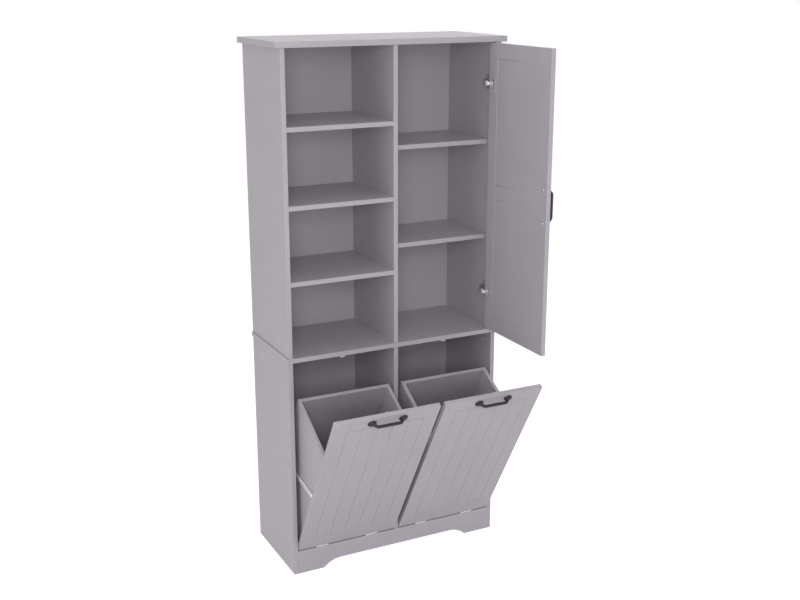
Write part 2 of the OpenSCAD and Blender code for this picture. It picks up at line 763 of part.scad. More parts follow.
// Butt hinges between the apron's top edge and a flap's bottom edge. The outer
// knuckles and the pin belong to the apron's leaf, the middle one to the flap's
knuckle_l = butt_w / 3;
module butt_sites() {
  for (s = [-1, 1]) translate([bay_mid + s * butt_offset - butt_w / 2, tilt_axis[0], tilt_axis[1]]) children();
}
module apron_leaf() {
  leaf_z = -hinge_gap / 2;
  translate([0, knuckle_cut, leaf_z]) cube([butt_w, leaf_l - knuckle_cut, leaf_t]);
  for (x = [0, butt_w - knuckle_l]) {
    translate([x, 0, leaf_z]) cube([knuckle_l, knuckle_cut, leaf_t]);
    rod_x([x, 0, 0], knuckle_l, knuckle_r);
  }
  rod_x([0, 0, 0], butt_w, butt_pin_r);
}
module flap_leaf() {
  leaf_z = hinge_gap / 2 - leaf_t;
  difference() {
    union() {
      translate([0, knuckle_cut, leaf_z]) cube([butt_w, leaf_l - knuckle_cut, leaf_t]);
      translate([knuckle_l + slide_fit, 0, leaf_z]) cube([knuckle_l - 2 * slide_fit, knuckle_cut, leaf_t]);
      rod_x([knuckle_l + slide_fit, 0, 0], knuckle_l - 2 * slide_fit, knuckle_r);
    }
    rod_x([0, 0, 0], butt_w, butt_pin_r + fit);
  }
}
module apron_hinge_leaves() {
  color(bright_steel) for (side = [-1, 1]) on_side(side) butt_sites() apron_leaf();
}
module left_hinge_leaves() { color(bright_steel) hamper_pose(-1) butt_sites() flap_leaf(); }
module right_hinge_leaves() { color(bright_steel) hamper_pose(1) butt_sites() flap_leaf(); }

// Magnetic catches under the middle board and the strike plates they hold
catch_y = flap_y1 + strike[2] + sweep_gap;
module flap_catches() {
  color(white_plastic) for (side = [-1, 1]) on_side(side) difference() {
    board(bay_mid - catch_w / 2, bay_mid + catch_w / 2, catch_y, catch_y + catch_l, lower_h - catch_h, lower_h);
    board(bay_mid - 1, bay_mid + 1, catch_y - past, catch_y + 3, lower_h - catch_h + 2, lower_h - 3);
  }
}
module strike_plate(side) {
  color(bright_steel) hamper_pose(side)
    board(bay_mid - strike[0] / 2, bay_mid + strike[0] / 2, flap_y1, flap_y1 + strike[2],
          flap_z1 - strike[1] - 1, flap_z1 - 1);
}
module left_strike_plate() { strike_plate(-1); }
module right_strike_plate() { strike_plate(1); }

// Tilt stays: a stud on the side panel, a slotted arm, and its pivot on the bin
module stay_studs() {
  color(bright_steel) for (side = [-1, 1]) on_side(side) translate([0, stud[0], stud[1]]) {
    board(x_in - stay_plate_t, x_in, -18, 18, -10, 10);
    rod_x([stay_x1 + stay_t + sweep_gap, 0, 0], x_in - stay_x1 - stay_t - sweep_gap, stay_head_r);
    rod_x([stay_x1 - sweep_gap - stay_head_t, 0, 0], x_in - stay_x1, stay_pin_r);
    rod_x([stay_x1 - sweep_gap - stay_head_t, 0, 0], stay_head_t, stay_head_r);
  }
}
module stay_anchor(side) {
  color(bright_steel) hamper_pose(side) translate([0, stay_pivot[0], stay_pivot[1]]) {
    rod_x([bin_x1, 0, 0], stay_plate_t, 10);
    rod_x([bin_x1, 0, 0], stay_x1 + stay_t + sweep_gap + stay_head_t - bin_x1, stay_pin_r);
    rod_x([bin_x1, 0, 0], stay_x1 - sweep_gap - bin_x1, stay_pin_r + 1.5);
    rod_x([stay_x1 + stay_t + sweep_gap, 0, 0], stay_head_t, stay_head_r);
  }
}
module left_stay_anchor() { stay_anchor(-1); }
module right_stay_anchor() { stay_anchor(1); }
module stay_arm(side) {
  slot_r = stay_pin_r + sweep_gap;
  color(bright_steel) hamper_pose(side) translate([stay_x1, stay_pivot[0], stay_pivot[1]])
    rotate([arm_slope - tilt_angle / 2, 0, 0]) difference() {
      union() {
        translate([0, 0, -stay_w / 2]) cube([stay_t, slot_far, stay_w]);
        for (y = [0, slot_far]) rod_x([0, y, 0], stay_t, stay_w / 2);
      }
      rod_x([-past, 0, 0], stay_t + 2 * past, stay_pin_r + fit);
      translate([-past, slot_near, -slot_r]) cube([stay_t + 2 * past, slot_far - slot_near, 2 * slot_r]);
      for (y = [slot_near, slot_far]) rod_x([-past, y, 0], stay_t + 2 * past, slot_r);
    }
}
module left_stay_arm() { stay_arm(-1); }
module right_stay_arm() { stay_arm(1); }

lower_left_side();
lower_right_side();
lower_divider();
middle_board();
upper_left_side();
upper_right_side();
upper_divider();
top_board();
bottom_board();
apron();
centre_support();
upper_back_panel();
lower_back_panel();
left_shelf_top();
left_shelf_middle();
left_shelf_bottom();
right_shelf_upper();
right_shelf_lower();
shelf_pins();
cam_locks();
cam_bolts();
cam_caps();
door_hinge_plates();
door_hinge_arms();
flap_catches();
apron_hinge_leaves();
stay_studs();
door_hinge_stile();
door_handle_stile();
door_top_rail();
door_middle_rail();
door_bottom_rail();
door_upper_panel();
door_lower_panel();
door_handle();
door_handle_screws();
door_hinge_cups();
left_flap();
left_bin_outer_side();
left_bin_inner_side();
left_bin_back();
left_bin_bottom();
left_handle();
left_handle_screws();
left_hinge_leaves();
left_strike_plate();
left_stay_anchor();
left_stay_arm();
right_flap();
right_bin_outer_side();
right_bin_inner_side();
right_bin_back();
right_bin_bottom();
right_handle();
right_handle_screws();
right_hinge_leaves();
right_strike_plate();
right_stay_anchor();
right_stay_arm();
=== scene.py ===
import json
import math

import bmesh
import bpy
from mathutils import Matrix, Vector


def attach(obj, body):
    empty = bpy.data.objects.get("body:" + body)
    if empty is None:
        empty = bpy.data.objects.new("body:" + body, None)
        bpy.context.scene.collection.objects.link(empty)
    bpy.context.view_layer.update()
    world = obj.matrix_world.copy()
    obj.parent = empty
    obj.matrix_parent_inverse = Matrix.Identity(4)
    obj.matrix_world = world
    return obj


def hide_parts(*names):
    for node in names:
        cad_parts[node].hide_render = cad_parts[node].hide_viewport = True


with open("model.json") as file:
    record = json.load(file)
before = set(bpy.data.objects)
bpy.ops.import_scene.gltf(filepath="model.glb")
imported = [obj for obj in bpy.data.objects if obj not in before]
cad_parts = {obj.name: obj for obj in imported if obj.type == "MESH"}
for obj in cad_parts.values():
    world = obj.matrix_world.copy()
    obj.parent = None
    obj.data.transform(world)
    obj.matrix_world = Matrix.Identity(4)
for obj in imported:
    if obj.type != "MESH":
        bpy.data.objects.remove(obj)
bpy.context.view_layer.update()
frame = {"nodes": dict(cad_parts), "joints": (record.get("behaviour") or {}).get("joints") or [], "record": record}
JOINTS = {joint["name"]: joint for joint in frame["joints"]}
BODY_OF = {node: body for body, nodes in frame["record"]["behaviour"]["bodies"].items() for node in nodes}
SLOT_OF = {part["node"]: part["material_slot"] for part in frame["record"]["subparts"]}
MM = 0.001

# Mesh work: points this close are one, and points this close to a side lie on it
WELD = 0.002 * MM
ON_SIDE = 0.01 * MM
# Faces that turn by less than this are one, and how far an eased edge may be from square, in degrees
FLAT_TURN = 0.3
SQUARE_SLACK = 12

# The photograph's viewpoint, in metres and degrees
CAMERA_PLACE = (-1.6001, -3.3717, 1.9409)
CAMERA_TURN = 26.74
CAMERA_DROP = 16.017
CAMERA_LENS = 50.99
SENSOR_WIDTH = 36.0

# Colours, linear
PAINT = (0.427, 0.394, 0.437)
PAINT_BACK = (0.403, 0.374, 0.411)
BLACK = (0.0150, 0.0098, 0.0140)
NICKEL = (0.84, 0.84, 0.85)
WHITE_PLASTIC = (0.80, 0.80, 0.78)

# Eased edges of the boards
EDGE_RADIUS = 0.8 * MM
TOP_EDGE_RADIUS = 1.6 * MM
LONG_EDGE = 12 * MM
SHORT_EDGE = 0.5 * MM
EDGE_SEGMENTS = 3

# Flaps: how far the edges reach past their nodes, the field's borders, and the grooves across its ends
OUTER_REACH = 1.0 * MM
INNER_REACH = 1.5 * MM
FIELD_SIDE = 47 * MM
FIELD_TOP = 44 * MM
FIELD_BOTTOM = 55 * MM
GROOVE_HALF = 1.8 * MM
CROSS_DEPTH = 3.0 * MM
# How far a cutter runs past a groove's end
CUTTER_PAST = 0.05 * MM

# Metal parts
METAL_EDGE = 0.3 * MM
METAL_SHORTEST = 0.55 * MM
METAL_SEGMENTS = 2
# Where the rear of a concealed hinge's arm begins; from here back the arm is painted darker, as painted shade
ARM_REAR = -146 * MM

# Bow handles
HANDLE_SPAN = 106 * MM
HANDLE_RISE = 17.5 * MM
BAR_RADIUS = 5.1 * MM
LEG_LEAN = math.radians(40)
BEND_RADIUS = 10 * MM
LEG_OUTSET = 1.5 * MM
FOOT_LENGTH = 30 * MM
FOOT_WIDTH = 24 * MM
FOOT_HEIGHT = 8.5 * MM
FOOT_CROWN = 0.8
FOOT_SUNK = 2 * MM
FLARE_HEIGHT = 12 * MM
FLARE = 0.3
HANDLE_SIDES = 20
BEND_STEPS = 10
HANDLE_VOXEL = 0.6 * MM
HANDLE_SMOOTHING = 9
HANDLE_SMOOTH_SHARE = 0.6
OUTWARD = Matrix.Rotation(math.radians(90), 4, "X")
UPRIGHT = Matrix.Rotation(math.radians(90), 4, "Z")


def opened(name):
    """The turn that carries a piece drawn closed to where it rests."""
    joint = JOINTS[name]
    pivot = Matrix.Translation(Vector(joint["pos_m"]))
    turn = Matrix.Rotation(-math.radians(joint["range_deg"][0]), 4, Vector(joint["axis"]))
    return pivot @ turn @ pivot.inverted()


TURN_OF = {
    "carcass": Matrix.Identity(4),
    "door": opened("door_hinge"),
    "left_hamper": opened("left_hamper_tilt"),
    "right_hamper": opened("right_hamper_tilt"),
}
# The axis along which a body's handle lies
HANDLE_AXIS = {"door": 2, "left_hamper": 0, "right_hamper": 0}


def closed_box(node):
    """A node's lowest and highest corners with its door or hamper closed."""
    back = TURN_OF[BODY_OF[node]].inverted()
    points = [back @ vertex.co for vertex in frame["nodes"][node].data.vertices]
    low = Vector(min(point[axis] for point in points) for axis in range(3))
    high = Vector(max(point[axis] for point in points) for axis in range(3))
    return low, high


# Materials

# Where most of a noise texture's values lie
NOISE_LOW = 0.3
NOISE_HIGH = 0.7


def start_material(name):
    """A material with one principled shader, and the surface's place for its textures."""
    material = bpy.data.materials.new(name)
    material.use_nodes = True
    tree = material.node_tree
    tree.nodes.clear()
    shader = tree.nodes.new("ShaderNodeBsdfPrincipled")
    output = tree.nodes.new("ShaderNodeOutputMaterial")
    tree.links.new(shader.outputs["BSDF"], output.inputs["Surface"])
    place = tree.nodes.new("ShaderNodeNewGeometry")
    return material, tree, shader, place.outputs["Position"]


def scaled(tree, place, scale):
    """The place, stretched along each axis."""
    mapping = tree.nodes.new("ShaderNodeMapping")
    mapping.vector_type = "POINT"
    mapping.inputs["Scale"].default_value = scale
    tree.links.new(place, mapping.inputs["Vector"])
    return mapping.outputs["Vector"]


def noise(tree, place, scale, detail=2.0, roughness=0.5):
    node = tree.nodes.new("ShaderNodeTexNoise")
    node.inputs["Scale"].default_value = scale
    node.inputs["Detail"].default_value = detail
    node.inputs["Roughness"].default_value = roughness
    tree.links.new(place, node.inputs["Vector"])
    return node.outputs["Fac"]


def spread(tree, factor, low, high):
    """Maps a noise texture's usual values to a range."""
    node = tree.nodes.new("ShaderNodeMapRange")
    node.inputs["From Min"].default_value = NOISE_LOW
    node.inputs["From Max"].default_value = NOISE_HIGH
    node.inputs["To Min"].default_value = low
    node.inputs["To Max"].default_value = high
    tree.links.new(factor, node.inputs["Value"])
    return node.outputs["Result"]


def tint(tree, factor, dark, light):
    node = tree.nodes.new("ShaderNodeMix")
    node.data_type = "RGBA"
    node.inputs["A"].default_value = (*dark, 1)
    node.inputs["B"].default_value = (*light, 1)
    tree.links.new(factor, node.inputs["Factor"])
    return node.outputs["Result"]


def shade(colour, amount):
    return tuple(min(1.0, channel * amount) for channel in colour)


def bump(tree, shader, height, strength, distance):
    node = tree.nodes.new("ShaderNodeBump")
    node.inputs["Strength"].default_value = strength
    node.inputs["Distance"].default_value = distance
    tree.links.new(height, node.inputs["Height"])
    tree.links.new(node.outputs["Normal"], shader.inputs["Normal"])


def painted_board(name, colour, roughness):
    """Satin sprayed paint on board: slow drift of tone and a fine orange peel."""
    material, tree, shader, place = start_material(name)
    drift = noise(tree, place, 5.0, 3.0)
    tone = tint(tree, spread(tree, drift, 0.0, 1.0), shade(colour, 0.975), shade(colour, 1.025))
    tree.links.new(tone, shader.inputs["Base Color"])
    gloss = noise(tree, place, 38.0, 3.0)
    tree.links.new(spread(tree, gloss, roughness - 0.04, roughness + 0.04), shader.inputs["Roughness"])
    peel = noise(tree, place, 620.0, 2.0, 0.6)
    bump(tree, shader, peel, 0.10, 0.0004)
    return material


def brushed_nickel(name, colour, stretch, roughness=0.28, metallic=1.0):
    """Nickel plate with fine drawn lines along one axis."""
    material, tree, shader, place = start_material(name)
    shader.inputs["Metallic"].default_value = metallic
    lines = noise(tree, scaled(tree, place, stretch), 900.0, 3.0)
    tone = tint(tree, spread(tree, lines, 0.0, 1.0), shade(colour, 0.86), shade(colour, 1.1))
    tree.links.new(tone, shader.inputs["Base Color"])
    tree.links.new(spread(tree, lines, roughness - 0.08, roughness + 0.08), shader.inputs["Roughness"])
    bump(tree, shader, lines, 0.08, 0.0002)
    return material


def coated_black(name, colour):
    """Black powder coat with a fine grain and random patches of darker and lighter tone."""
    material, tree, shader, place = start_material(name)
    patches = noise(tree, place, 60.0, 4.0)
    tone = tint(tree, spread(tree, patches, 0.0, 1.0), shade(colour, 0.8), shade(colour, 1.5))
    tree.links.new(tone, shader.inputs["Base Color"])
    tree.links.new(spread(tree, patches, 0.32, 0.46), shader.inputs["Roughness"])
    shader.inputs["Specular IOR Level"].default_value = 0.34
    bump(tree, shader, noise(tree, place, 1500.0, 2.0), 0.2, 0.0002)
    return material


def moulded_plastic(name, colour):
    """Smooth moulded plastic with a faint cloud of tone."""
    material, tree, shader, place = start_material(name)
    clouds = noise(tree, place, 90.0, 2.0)
    tone = tint(tree, spread(tree, clouds, 0.0, 1.0), shade(colour, 0.96), shade(colour, 1.03))
    tree.links.new(tone, shader.inputs["Base Color"])
    tree.links.new(spread(tree, clouds, 0.42, 0.54), shader.inputs["Roughness"])
    bump(tree, shader, noise(tree, place, 1800.0, 1.0), 0.12, 0.0002)
    return material


MATERIALS = {
    "paint": painted_board("satin_paint", PAINT, 0.44),
    "back_panel": painted_board("back_panel_paint", PAINT_BACK, 0.55),
    "handle_metal": coated_black("black_coat", BLACK),
    "bright_steel": brushed_nickel("nickel_plate", NICKEL, (1.0, 1.0, 0.06)),
    "cap_plastic": moulded_plastic("cap_plastic", PAINT),
    "catch_plastic": moulded_plastic("catch_plastic", WHITE_PLASTIC),
}
CUP_STEEL = brushed_nickel("cup_steel", (0.50, 0.48, 0.50), (1.0, 1.0, 0.06), 0.46, 0.3)
HINGE_STEEL = brushed_nickel("hinge_steel", (0.80, 0.79, 0.81), (1.0, 1.0, 0.06), 0.5, 0.3)
# Darker steel as painted shade, for the hinge plates and the rear of the hinge arms where shadow falls
PAINTED_SHADE_STEEL = brushed_nickel("painted_shade_steel", (0.33, 0.31, 0.33), (1.0, 1.0, 0.06), 0.44, 0.4)
STAY_STEEL = brushed_nickel("stay_steel", (0.97, 0.96, 0.97), (1.0, 0.06, 1.0), 0.36, 0.08)
SCREW_ZINC = brushed_nickel("screw_zinc", (0.66, 0.65, 0.66), (1.0, 1.0, 1.0), 0.3)
FINISH_OF = {
    "door_hinge_cups": CUP_STEEL,
    "door_hinge_arms": HINGE_STEEL,
    # The hinge plates are painted darker, as painted shade
    "door_hinge_plates": PAINTED_SHADE_STEEL,
    "apron_hinge_leaves": STAY_STEEL,
    "left_hinge_leaves": STAY_STEEL,
    "right_hinge_leaves": STAY_STEEL,
    "left_stay_arm": STAY_STEEL,
    "right_stay_arm": STAY_STEEL,
    "left_handle_screws": SCREW_ZINC,
    "right_handle_screws": SCREW_ZINC,
    "door_handle_screws": SCREW_ZINC,
}


def finish(node):
    """The material that a node and its stand-in show."""
    return FINISH_OF.get(node, MATERIALS[SLOT_OF[node]])


for node, obj in frame["nodes"].items():
    obj.data.materials.clear()
    obj.data.materials.append(finish(node))


# Pieces

def add_piece(name, mesh, node):
    """A piece that stands for a CAD node, on the node's body and with its finish."""
    obj = bpy.data.objects.new(name, mesh)
    bpy.context.scene.collection.objects.link(obj)
    mesh.materials.clear()
    mesh.materials.append(finish(node))
    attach(obj, BODY_OF[node])
    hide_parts(node)
    return obj


def from_bmesh(bm, name):
    """A mesh from bmesh data, its faces turned outward; the data is used up."""
    bmesh.ops.recalc_face_normals(bm, faces=bm.faces)
    mesh = bpy.data.meshes.new(name)
    bm.to_mesh(mesh)
    bm.free()
    return mesh


def square_edge(edge, shortest):
    """True on a convex right-angled edge that is long enough to be a board's own."""
    if len(edge.link_faces) != 2 or edge.calc_length() < shortest:
        return False
    return edge.is_convex and abs(math.degrees(edge.calc_face_angle(0)) - 90) < SQUARE_SLACK


def softened(bm, name, node, radius, shortest, segments=EDGE_SEGMENTS):
    """A part with its edges eased, in place of its sharp CAD node."""
    bmesh.ops.dissolve_limit(bm, angle_limit=math.radians(FLAT_TURN), verts=bm.verts, edges=bm.edges)
    edges = [edge for edge in bm.edges if square_edge(edge, shortest)]
    for face in bm.faces:
        face.smooth = False
    made = bmesh.ops.bevel(bm, geom=edges, offset=radius, offset_type="OFFSET", segments=segments,
                           profile=0.5, affect="EDGES", clamp_overlap=False)
    for face in made["faces"]:
        face.smooth = True
    return add_piece(name, from_bmesh(bm, name), node)


def node_mesh(node):
    """A closed copy of a node's mesh, without the flat slivers that hang on other faces' edges."""
    bm = bmesh.new()
    bm.from_mesh(frame["nodes"][node].data)
    bmesh.ops.remove_doubles(bm, verts=bm.verts, dist=WELD)
    slivers = [face for face in bm.faces if any(len(edge.link_faces) == 1 for edge in face.edges)]
    bmesh.ops.delete(bm, geom=slivers, context="FACES")
    return bm


def apply_modifiers(piece):
    """Puts the result of a piece's modifiers into its mesh."""
    graph = bpy.context.evaluated_depsgraph_get()
    mesh = bpy.data.meshes.new_from_object(piece.evaluated_get(graph))
    piece.modifiers.clear()
    piece.data = mesh


def cut_away(bm, cutters):
    """The mesh less closed cutter meshes."""
    body = bpy.data.objects.new("cut_body", from_bmesh(bm, "cut_body"))
    bpy.context.scene.collection.objects.link(body)
    for cutter in cutters:
        tool = bpy.data.objects.new("cutter", from_bmesh(cutter, "cutter"))
        bpy.context.scene.collection.objects.link(tool)
        cut = body.modifiers.new("cut", "BOOLEAN")
        cut.operation = "DIFFERENCE"
        cut.solver = "EXACT"
        cut.object = tool
        apply_modifiers(body)
        bpy.data.objects.remove(tool, do_unlink=True)
    result = bmesh.new()
    result.from_mesh(body.data)
    bpy.data.objects.remove(body, do_unlink=True)
    return result


def cross_groove(x0, x1, face_y, z):
    """A prism that cuts a V-groove along x into a closed flap's face."""
    mouth = GROOVE_HALF * (1 + MM / CROSS_DEPTH)
    section = [(face_y - MM, z - mouth), (face_y + CROSS_DEPTH, z), (face_y - MM, z + mouth)]
    bm = bmesh.new()
    ends = [[bm.verts.new((x, y, height)) for y, height in section] for x in (x0, x1)]
    bm.faces.new(ends[0])
    bm.faces.new(ends[1][::-1])
    for step in range(3):
        nxt = (step + 1) % 3
        bm.faces.new((ends[0][nxt], ends[0][step], ends[1][step], ends[1][nxt]))
    return bm


def beaded_flap(node):
    """A flap that reaches a little further to each side, with deeper grooves across its field."""
    body = BODY_OF[node]
    low, high = closed_box(node)
    left, right = (OUTER_REACH, INNER_REACH) if high.x < 0 else (INNER_REACH, OUTER_REACH)
    bm = node_mesh(node)
    bm.transform(TURN_OF[body].inverted())
    for vertex in bm.verts:
        if vertex.co.x < low.x + ON_SIDE:
            vertex.co.x = low.x - left
        elif vertex.co.x > high.x - ON_SIDE:
            vertex.co.x = high.x + right
    x0 = low.x + FIELD_SIDE - GROOVE_HALF / 2 - CUTTER_PAST
    x1 = high.x - FIELD_SIDE + GROOVE_HALF / 2 + CUTTER_PAST
    heights = (low.z + FIELD_BOTTOM, high.z - FIELD_TOP)
    bm = cut_away(bm, [cross_groove(x0, x1, low.y, z) for z in heights])
    bm.transform(TURN_OF[body])
    softened(bm, node + "_board", node, EDGE_RADIUS, LONG_EDGE)


def split_across(mesh, y):
    """Edges round a mesh where it crosses y, so that its finish can change there."""
    bm = bmesh.new()
    bm.from_mesh(mesh)
    geometry = bm.verts[:] + bm.edges[:] + bm.faces[:]
    bmesh.ops.bisect_plane(bm, geom=geometry, plane_co=(0, y, 0), plane_no=(0, 1, 0))
    bm.to_mesh(mesh)
    bm.free()


for node, slot in SLOT_OF.items():
    if node in ("left_flap", "right_flap"):
        beaded_flap(node)
    elif slot == "paint":
        softened(node_mesh(node), node + "_board", node,
                 TOP_EDGE_RADIUS if node == "top_board" else EDGE_RADIUS,
                 SHORT_EDGE if node == "apron" else LONG_EDGE)
for node in ("door_hinge_plates", "door_hinge_arms", "left_stay_arm", "right_stay_arm",
             "left_strike_plate", "right_strike_plate"):
    eased = softened(node_mesh(node), node + "_eased", node, METAL_EDGE, METAL_SHORTEST, METAL_SEGMENTS)
    # The arm's rear gets the darker steel as painted shade, and its front the brighter steel
    if node == "door_hinge_arms":
        split_across(eased.data, ARM_REAR)
        eased.data.materials.append(PAINTED_SHADE_STEEL)
        for polygon in eased.data.polygons:
            polygon.material_index = 1 if polygon.center.y > ARM_REAR else 0


# Handles

def band(bm, first, second):
    """The faces between two rings of points."""
    count = len(first)
    faces = []
    for step in range(count):
        nxt = (step + 1) % count
        faces.append(bm.faces.new((first[step], first[nxt], second[nxt], second[step])))
    return faces


def tube(bm, path, radii):
    """A closed round tube in the x-z plane; radii gives its thickness at each point."""
    rings = []
    for index, point in enumerate(path):
        before = path[max(index - 1, 0)]
        after = path[min(index + 1, len(path) - 1)]
        along = (after - before).normalized()
        across = Vector((-along.z, 0, along.x))
        ring = []
        for step in range(HANDLE_SIDES):
            angle = math.tau * step / HANDLE_SIDES
            offset = across * math.cos(angle) + Vector((0, 1, 0)) * math.sin(angle)
            ring.append(bm.verts.new(point + offset * radii[index]))
        rings.append(ring)
    for first, second in zip(rings, rings[1:]):
        band(bm, first, second)
    bm.faces.new(rings[0][::-1])
    bm.faces.new(rings[-1])


def handle_curve(span):
    """Half of the bar's centre line, from a foot to the middle, x positive."""
    leg_x = span / 2 + LEG_OUTSET
    leg = (HANDLE_RISE - BEND_RADIUS * (1 - math.sin(LEG_LEAN))) / math.cos(LEG_LEAN)
    lean = Vector((-math.sin(LEG_LEAN), 0, math.cos(LEG_LEAN)))
    points = [Vector((leg_x, 0, 0)) + lean * leg * part for part in (0, 0.25, 0.5, 0.75)]
    bar_x = leg_x - BEND_RADIUS * math.cos(LEG_LEAN) - leg * math.sin(LEG_LEAN)
    for step in range(BEND_STEPS + 1):
        angle = LEG_LEAN + (math.pi / 2 - LEG_LEAN) * step / BEND_STEPS
        points.append(Vector((bar_x + BEND_RADIUS * math.cos(angle), 0,
                              HANDLE_RISE - BEND_RADIUS + BEND_RADIUS * math.sin(angle))))
    points.append(Vector((0, 0, HANDLE_RISE)))
    return points


def foot_dome(bm, middle):
    """A low oval dome, flat below."""
    made = bmesh.ops.create_uvsphere(bm, u_segments=40, v_segments=20, radius=1.0)
    for vertex in made["verts"]:
        x, y, z = vertex.co
        height = FOOT_HEIGHT * z ** FOOT_CROWN if z > 0 else FOOT_SUNK * z
        vertex.co = Vector((middle + x * FOOT_LENGTH / 2, y * FOOT_WIDTH / 2, height))


def cut_below(mesh, height):
    """Cuts a mesh flat at a height and closes it."""
    bm = bmesh.new()
    bm.from_mesh(mesh)
    geometry = bm.verts[:] + bm.edges[:] + bm.faces[:]
    cut = bmesh.ops.bisect_plane(bm, geom=geometry, plane_co=(0, 0, height), plane_no=(0, 0, -1),
                                 clear_outer=True)
    rim = [item for item in cut["geom_cut"] if isinstance(item, bmesh.types.BMEdge)]
    bmesh.ops.holes_fill(bm, edges=rim, sides=0)
    bm.to_mesh(mesh)
    bm.free()


def bow_handle(name, node, place):
    """A bow pull: two domed oval feet that flow into a round bar."""
    half = handle_curve(HANDLE_SPAN)
    path = half + [Vector((-point.x, 0, point.z)) for point in half[-2::-1]]
    radii = [BAR_RADIUS * (1.0 + FLARE * max(0.0, 1 - point.z / FLARE_HEIGHT)) for point in path]
    bm = bmesh.new()
    tube(bm, path, radii)
    for side in (-1, 1):
        foot_dome(bm, side * HANDLE_SPAN / 2)
    piece = add_piece(name, from_bmesh(bm, name), node)
    merge = piece.modifiers.new("merge", "REMESH")
    merge.mode = "VOXEL"
    merge.voxel_size = HANDLE_VOXEL
    soften = piece.modifiers.new("soften", "SMOOTH")
    soften.iterations = HANDLE_SMOOTHING
    soften.factor = HANDLE_SMOOTH_SHARE
    apply_modifiers(piece)
    cut_below(piece.data, 0.0)
    piece.data.transform(TURN_OF[BODY_OF[node]] @ place)
    for polygon in piece.data.polygons:
        polygon.use_smooth = True


def handle_place(node, face_y):
    """Where a closed handle stands: z runs out of the face, x along the bar."""
    low, high = closed_box(node)
    middle = (low + high) / 2
    return Matrix.Translation((middle.x, face_y, middle.z)) @ OUTWARD


door_face = closed_box("door_handle_stile")[0].y
bow_handle("door_bow_handle", "door_handle", handle_place("door_handle", door_face) @ UPRIGHT)
for side in ("left", "right"):
    flap_face = closed_box(side + "_flap")[0].y
    bow_handle(side + "_bow_handle", side + "_handle", handle_place(side + "_handle", flap_face))


# Screws

HEAD_RADIUS = 4 * MM
HEAD_HEIGHT = 2.4 * MM
SHANK_RADIUS = 2 * MM
# The rounded head from its seat to its top, as shares of its radius and height
HEAD_PROFILE = ((1.0, 0.45), (0.95, 0.7), (0.83, 0.88), (0.66, 1.0))
SCREW_SIDES = 32
RECESS_DEPTH = 1.3 * MM
# The cross recess, as shares of the head's radius, and its floor as a share of its mouth
RECESS_HALF = 0.13
RECESS_REACH = 0.54
RECESS_TAPER = 0.8
INWARD = Matrix.Rotation(math.radians(-90), 4, "X")


def screw(bm, shank, place):
    """A pan-head screw with a cross recess, its seat at the origin and its axis along z."""
    radius, height = HEAD_RADIUS, HEAD_HEIGHT
    profile = [(SHANK_RADIUS, -shank), (SHANK_RADIUS, 0.0), (radius, 0.0)]
    profile += [(radius * across, height * up) for across, up in HEAD_PROFILE]
    start = len(bm.verts)
    rings = []
    for ring_radius, z in profile:
        rings.append([bm.verts.new((ring_radius * math.cos(math.tau * step / SCREW_SIDES),
                                    ring_radius * math.sin(math.tau * step / SCREW_SIDES), z))
                      for step in range(SCREW_SIDES)])
    bm.faces.new(rings[0][::-1])
    for first, second in zip(rings, rings[1:]):
        for face in band(bm, first, second):
            face.smooth = True
    half = radius * RECESS_HALF
    reach = radius * RECESS_REACH
    cross = []
    for quarter in range(4):
        turn = Matrix.Rotation(quarter * math.pi / 2, 3, "Z")
        for x, y in ((half, half), (half, reach), (-half, reach)):
            cross.append((turn @ Vector((x, y, height))).to_tuple())
    # The recess's rim in order round the axis
    cross.sort(key=lambda point: math.atan2(point[1], point[0]))
    rim = [bm.verts.new(point) for point in cross]
    floor = [bm.verts.new((x * RECESS_TAPER, y * RECESS_TAPER, height - RECESS_DEPTH))
             for x, y, z in cross]
    band(bm, rim, floor)
    bm.faces.new(floor)
    edges = [bm.edges.get((loop[step], loop[(step + 1) % len(loop)]))
             for loop in (rings[-1], rim) for step in range(len(loop))]
    bmesh.ops.triangle_fill(bm, use_beauty=True, use_dissolve=False, edges=edges, normal=(0, 0, 1))
    bm.verts.ensure_lookup_table()
    for vertex in bm.verts[start:]:
        vertex.co = place @ vertex.co


def handle_screws(node):
    """Two screws through a board, their heads on its inner face."""
    body = BODY_OF[node]
    low, high = closed_box(node)
    seat = high.y - HEAD_HEIGHT
    middle = (low + high) / 2
    bm = bmesh.new()
    for side in (-1, 1):
        spot = Vector((middle.x, seat, middle.z))
        spot[HANDLE_AXIS[body]] += side * HANDLE_SPAN / 2
        screw(bm, seat - low.y, Matrix.Translation(spot) @ INWARD)
    bm.transform(TURN_OF[body])
    add_piece(node + "_cross", from_bmesh(bm, node + "_cross"), node)


for node in ("door_handle_screws", "left_handle_screws", "right_handle_screws"):
    handle_screws(node)


# Camera

def add_camera():
    """The camera at the photograph's viewpoint."""
    data = bpy.data.cameras.new("photo_camera")
    data.lens = CAMERA_LENS
    data.sensor_width = SENSOR_WIDTH
    data.clip_end = 50
    camera = bpy.data.objects.new("photo_camera", data)
    camera.location = CAMERA_PLACE
    camera.rotation_euler = (math.radians(90 - CAMERA_DROP), 0, -math.radians(CAMERA_TURN))
    bpy.context.scene.collection.objects.link(camera)
    bpy.context.scene.camera = camera


# Studio

FLOOR_SIZE = 30.0
FLOOR_BOUNCE = 0.82
FLOOR_SHADOW = 0.30
FLOOR_WHITE = 0.94
SKY = 0.26
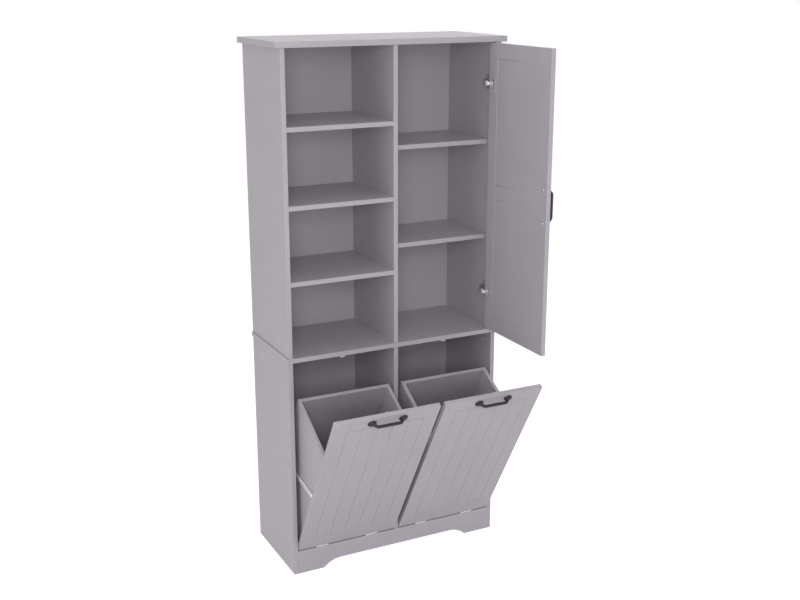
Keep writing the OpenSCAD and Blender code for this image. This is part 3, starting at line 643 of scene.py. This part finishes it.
# Every lamp is square and faces this point; each has its name, place, width in metres and power in watts
LAMP_TARGET = (0, 0, 0.9)
LAMPS = (
    ("leftback", (-4.5, -0.6, 1.3), 2.4, 37),
    ("high", (-0.8, -3.6, 3.6), 2.4, 29),
    ("steep", (-0.5, -1.8, 4.6), 2.4, 10),
    ("over", (0.4, 0.6, 4.4), 2.4, 37),
    ("overleft", (-2.6, -0.2, 4.2), 2.4, 8),
    ("rightfar", (4.2, -2.2, 1.6), 2.4, 12),
    ("near", (-1.6, -3.5, 2.0), 1.2, 45),
    ("biglow", (-1.0, -4.2, 0.6), 2.6, 17),
    ("rightlow", (1.5, -3.6, 0.35), 1.0, 5),
    ("rim", (3.6, 2.4, 2.6), 2.4, 40),
)


def seen_directly(tree):
    """1 for camera, glossy and transmission rays, and 0 for the light that falls on the object."""
    path = tree.nodes.new("ShaderNodeLightPath")
    either = None
    for kind in ("Is Camera Ray", "Is Glossy Ray", "Is Transmission Ray"):
        if either is None:
            either = path.outputs[kind]
            continue
        larger = tree.nodes.new("ShaderNodeMath")
        larger.operation = "MAXIMUM"
        tree.links.new(either, larger.inputs[0])
        tree.links.new(path.outputs[kind], larger.inputs[1])
        either = larger.outputs[0]
    return either


def add_floor():
    """A pale floor that shows white and keeps the object's shadow."""
    bm = bmesh.new()
    bmesh.ops.create_grid(bm, x_segments=1, y_segments=1, size=FLOOR_SIZE / 2)
    floor = bpy.data.objects.new("floor", from_bmesh(bm, "floor"))
    bpy.context.scene.collection.objects.link(floor)
    material = bpy.data.materials.new("pale_floor")
    material.use_nodes = True
    tree = material.node_tree
    tree.nodes.clear()
    output = tree.nodes.new("ShaderNodeOutputMaterial")
    lit = tree.nodes.new("ShaderNodeBsdfDiffuse")
    lit.inputs["Color"].default_value = (FLOOR_BOUNCE, FLOOR_BOUNCE, FLOOR_BOUNCE, 1)
    shadow = tree.nodes.new("ShaderNodeBsdfDiffuse")
    shadow.inputs["Color"].default_value = (FLOOR_SHADOW, FLOOR_SHADOW, FLOOR_SHADOW, 1)
    white = tree.nodes.new("ShaderNodeEmission")
    white.inputs["Color"].default_value = (1, 1, 1, 1)
    white.inputs["Strength"].default_value = FLOOR_WHITE
    shown = tree.nodes.new("ShaderNodeAddShader")
    tree.links.new(shadow.outputs[0], shown.inputs[0])
    tree.links.new(white.outputs[0], shown.inputs[1])
    mix = tree.nodes.new("ShaderNodeMixShader")
    tree.links.new(seen_directly(tree), mix.inputs["Fac"])
    tree.links.new(lit.outputs[0], mix.inputs[1])
    tree.links.new(shown.outputs[0], mix.inputs[2])
    tree.links.new(mix.outputs[0], output.inputs["Surface"])
    floor.data.materials.append(material)


def add_world():
    """A surround that shows white and lights the object softly."""
    world = bpy.data.worlds.new("studio")
    bpy.context.scene.world = world
    world.use_nodes = True
    tree = world.node_tree
    tree.nodes.clear()
    output = tree.nodes.new("ShaderNodeOutputWorld")
    light = tree.nodes.new("ShaderNodeBackground")
    light.inputs["Color"].default_value = (1, 1, 1, 1)
    light.inputs["Strength"].default_value = SKY
    white = tree.nodes.new("ShaderNodeBackground")
    white.inputs["Color"].default_value = (1, 1, 1, 1)
    white.inputs["Strength"].default_value = 1.0
    mix = tree.nodes.new("ShaderNodeMixShader")
    tree.links.new(seen_directly(tree), mix.inputs["Fac"])
    tree.links.new(light.outputs[0], mix.inputs[1])
    tree.links.new(white.outputs[0], mix.inputs[2])
    tree.links.new(mix.outputs[0], output.inputs["Surface"])


def add_lamp(name, place, size, power):
    data = bpy.data.lights.new(name, "AREA")
    data.shape = "SQUARE"
    data.size = size
    data.energy = power
    lamp = bpy.data.objects.new(name, data)
    lamp.location = place
    aim = Vector(LAMP_TARGET) - Vector(place)
    lamp.rotation_euler = aim.to_track_quat("-Z", "Y").to_euler()
    bpy.context.scene.collection.objects.link(lamp)


add_camera()
add_floor()
add_world()
for lamp in LAMPS:
    add_lamp(*lamp)
bpy.context.scene.view_settings.view_transform = "Standard"

bpy.context.view_layer.update()
